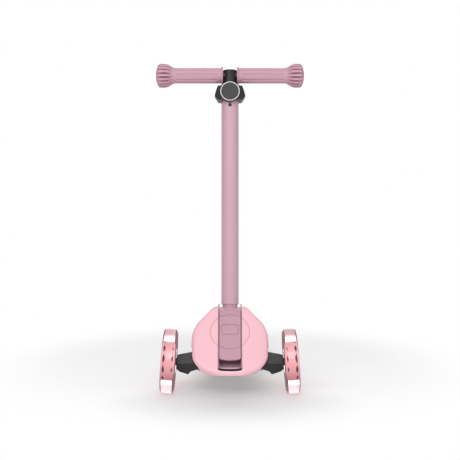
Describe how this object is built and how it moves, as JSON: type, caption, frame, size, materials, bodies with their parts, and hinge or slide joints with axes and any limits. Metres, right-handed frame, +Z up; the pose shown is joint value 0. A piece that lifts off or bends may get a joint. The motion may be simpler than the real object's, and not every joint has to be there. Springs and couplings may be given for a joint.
{
  "type": "kick scooter",
  "caption": "Child's three-wheeled kick scooter: two leaning, steering front wheels, a folding column with a telescoping T handlebar, a flat deck and a rear wheel under a foot brake.",
  "frame": {"origin": "on the ground, in the middle of the scooter's length and width", "axes": "-Y is the way the scooter rides, +Z is up, +X is to the left of a rider who faces forward"},
  "size_m": [0.287, 0.555, 0.6169],
  "materials": {
    "pink_plastic": "pale pink moulded plastic with a soft sheen",
    "core_plastic": "rose moulded plastic",
    "clear_tyre": "clear cast polyurethane with a slight rose tint",
    "mat_rubber": "matte moulded rubber",
    "grip_rubber": "matte soft rubber",
    "mauve_metal": "satin mauve paint",
    "black_plastic": "black glass-filled nylon",
    "black_metal": "satin black paint",
    "trim_grey": "pale grey plastic",
    "spring_rubber": "black elastomer",
    "nylon": "natural nylon",
    "zinc_steel": "zinc-plated steel",
    "bearing_steel": "polished bearing steel"
  },
  "bodies": {
    "deck": {"deck_shell": "pink_plastic", "deck_tray": "black_plastic", "grip_mat": "mat_rubber", "front_hood": "pink_plastic", "hood_screws": "zinc_steel", "deck_screws": "zinc_steel", "fold_bracket": "mauve_metal", "bracket_bolts": "zinc_steel", "fold_pin": "zinc_steel", "pedal_pin": "zinc_steel", "pedal_spring": "zinc_steel", "axle_carrier": "black_plastic", "kingpins": "zinc_steel", "left_centring_spring": "spring_rubber", "right_centring_spring": "spring_rubber", "rear_axle": "zinc_steel", "rear_axle_nut": "zinc_steel", "rear_spacers": "zinc_steel", "brake_pin": "zinc_steel", "brake_spring": "zinc_steel"},
    "pedal": {"release_pedal": "mauve_metal"},
    "column": {"column_foot": "mauve_metal", "column_tube": "mauve_metal", "column_bush": "black_plastic", "clamp_collar": "black_plastic", "badge_cap": "black_plastic", "badge_ring": "trim_grey", "clamp_pin": "zinc_steel"},
    "lever": {"clamp_lever": "black_plastic"},
    "handlebar": {"stem_tube": "black_metal", "stem_glide": "nylon", "stem_cap": "black_plastic", "crossbar": "black_metal", "left_grip": "grip_rubber", "right_grip": "grip_rubber"},
    "left_arm": {"left_knuckle": "black_plastic", "left_bushes": "nylon", "left_rod_pin": "zinc_steel", "left_axle_bolt": "zinc_steel"},
    "right_arm": {"right_knuckle": "black_plastic", "right_bushes": "nylon", "right_rod_pin": "zinc_steel", "right_axle_bolt": "zinc_steel"},
    "rod": {"tie_rod": "black_plastic"},
    "left_wheel": {"left_tyre": "clear_tyre", "left_core": "core_plastic", "left_bearings": "bearing_steel", "left_bearing_spacer": "zinc_steel", "left_hub_cap": "core_plastic"},
    "right_wheel": {"right_tyre": "clear_tyre", "right_core": "core_plastic", "right_bearings": "bearing_steel", "right_bearing_spacer": "zinc_steel", "right_hub_cap": "core_plastic"},
    "rear_wheel": {"rear_tyre": "clear_tyre", "rear_core": "core_plastic", "rear_bearings": "bearing_steel", "rear_bearing_spacer": "zinc_steel"},
    "fender": {"brake_fender": "pink_plastic", "brake_pad": "black_plastic"}
  },
  "joints": [
    {"name": "steer", "type": "hinge", "parent": "deck", "child": "left_arm", "pos_m": [-0.052, -0.2115, 0.06139], "axis": [0, -0.342, 0.9397], "range_deg": [-13, 13], "stiffness_Nm_per_rad": 3, "deforming": ["left_centring_spring", "right_centring_spring"]},
    {"name": "steer_right", "type": "hinge", "parent": "deck", "child": "right_arm", "pos_m": [0.052, -0.2115, 0.06139], "axis": [0, -0.342, 0.9397], "range_deg": [-13, 13], "stiffness_Nm_per_rad": 3},
    {"name": "rod_swing", "type": "hinge", "parent": "left_arm", "child": "rod", "pos_m": [-0.052, -0.18707, 0.07028], "axis": [0, -0.342, 0.9397], "range_deg": [-13, 13]},
    {"name": "left_wheel_spin", "type": "hinge", "parent": "left_arm", "child": "left_wheel", "pos_m": [-0.1135, -0.2175, 0.06039], "axis": [-0.9976, 0, 0.0698], "continuous": true},
    {"name": "right_wheel_spin", "type": "hinge", "parent": "right_arm", "child": "right_wheel", "pos_m": [0.1135, -0.2175, 0.06039], "axis": [0.9976, 0, 0.0698], "continuous": true},
    {"name": "rear_wheel_spin", "type": "hinge", "parent": "deck", "child": "rear_wheel", "pos_m": [0, 0.2375, 0.04], "axis": [1, 0, 0], "continuous": true},
    {"name": "brake", "type": "hinge", "parent": "deck", "child": "fender", "pos_m": [0, 0.1835, 0.066], "axis": [1, 0, 0], "range_deg": [-3, 0], "stiffness_Nm_per_rad": 0.6, "springref_deg": 14.9},
    {"name": "fold", "type": "hinge", "parent": "deck", "child": "column", "pos_m": [0, -0.16068, 0.137], "axis": [-1, 0, 0], "range_deg": [0, 74]},
    {"name": "release", "type": "hinge", "parent": "deck", "child": "pedal", "pos_m": [0, -0.20075, 0.10666], "axis": [1, 0, 0], "range_deg": [0, 5], "stiffness_Nm_per_rad": 0.5, "springref_deg": -11.46},
    {"name": "bar_height", "type": "slide", "parent": "column", "child": "handlebar", "axis": [0, 0.1736, 0.9848], "range_m": [0, 0.07]},
    {"name": "clamp_lever_swing", "type": "hinge", "parent": "column", "child": "lever", "pos_m": [0, -0.05867, 0.55718], "axis": [1, 0, 0], "range_deg": [0, 95]}
  ],
  "couplings": [
    {"joint": "steer_right", "follows": "steer", "ratio": 1},
    {"joint": "rod_swing", "follows": "steer", "ratio": -1}
  ]
}
